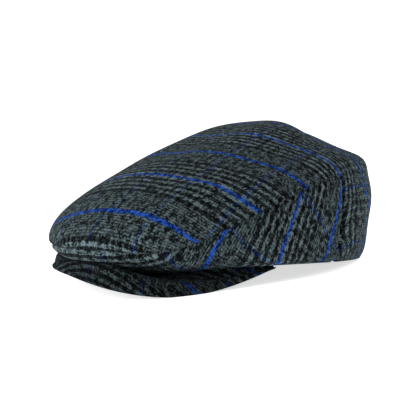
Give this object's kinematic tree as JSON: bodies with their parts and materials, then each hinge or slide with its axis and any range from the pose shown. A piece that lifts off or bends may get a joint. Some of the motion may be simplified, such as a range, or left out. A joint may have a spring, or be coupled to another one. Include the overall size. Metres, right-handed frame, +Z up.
{
  "type": "flat cap",
  "caption": "Soft wool flat cap with a low rounded crown that leans forward over a short bent peak, hollow and open below for a head.",
  "frame": {"origin": "middle of the cap's bounding box, on the table it rests on", "axes": "+Z up, -Y towards the front of the cap, +X to the wearer's left"},
  "size_m": [0.197, 0.2568, 0.1135],
  "materials": {
    "top_panel": "woven wool, matt, charcoal and grey check with blue lines",
    "left_side_panel": "woven wool, matt, charcoal and grey check with blue lines",
    "right_side_panel": "woven wool, matt, charcoal and grey check with blue lines",
    "peak": "woven wool over a firm core, matt, charcoal and grey check"
  },
  "bodies": {
    "root": {"top_panel": "top_panel", "left_side_panel": "left_side_panel", "right_side_panel": "right_side_panel", "peak": "peak"}
  },
  "joints": []
}
